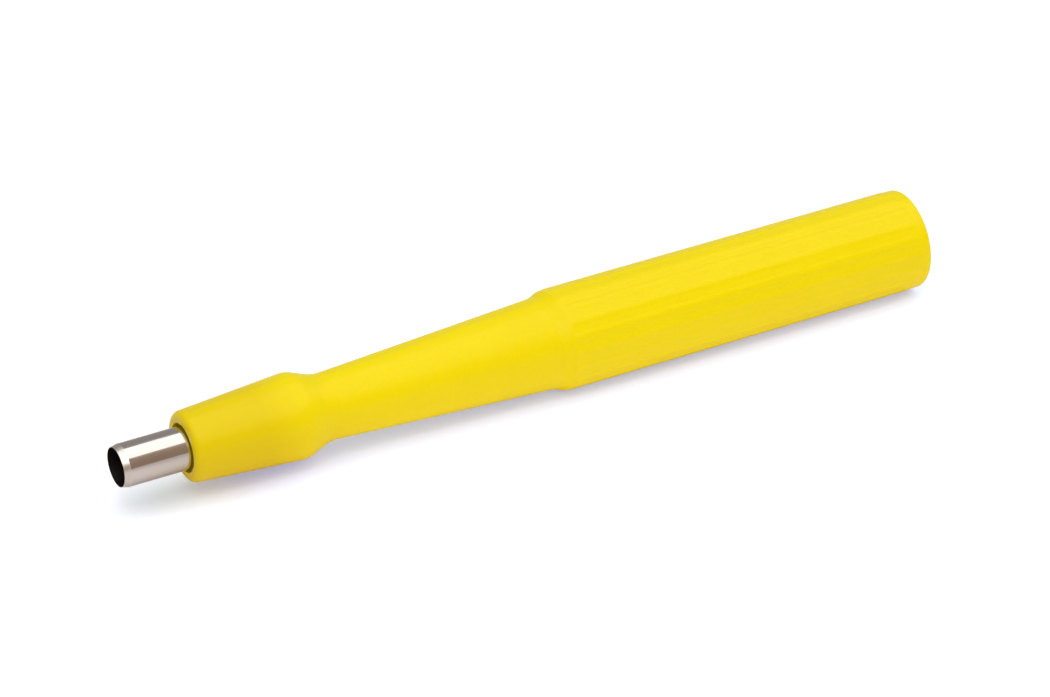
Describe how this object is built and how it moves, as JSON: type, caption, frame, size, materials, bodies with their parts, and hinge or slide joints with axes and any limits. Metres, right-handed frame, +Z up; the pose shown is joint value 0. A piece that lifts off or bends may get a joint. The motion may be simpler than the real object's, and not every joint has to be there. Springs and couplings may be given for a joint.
{
  "type": "biopsy punch",
  "caption": "Hand-held biopsy punch: a thin steel tube ground to a cutting edge, set in a moulded yellow plastic handle with a finger flange, a tapered waist and a ribbed round grip.",
  "frame": {"origin": "on the surface that the punch lies on, under the middle of its length", "axes": "+X along the punch from the cutting edge to the rear end, +Z up, +Y to the side"},
  "size_m": [0.09, 0.0104, 0.0104],
  "materials": {
    "yellow_plastic": "satin moulded",
    "stainless_steel": "drawn and ground"
  },
  "bodies": {
    "root": {"handle": "yellow_plastic", "cutting_tube": "stainless_steel"}
  },
  "joints": []
}
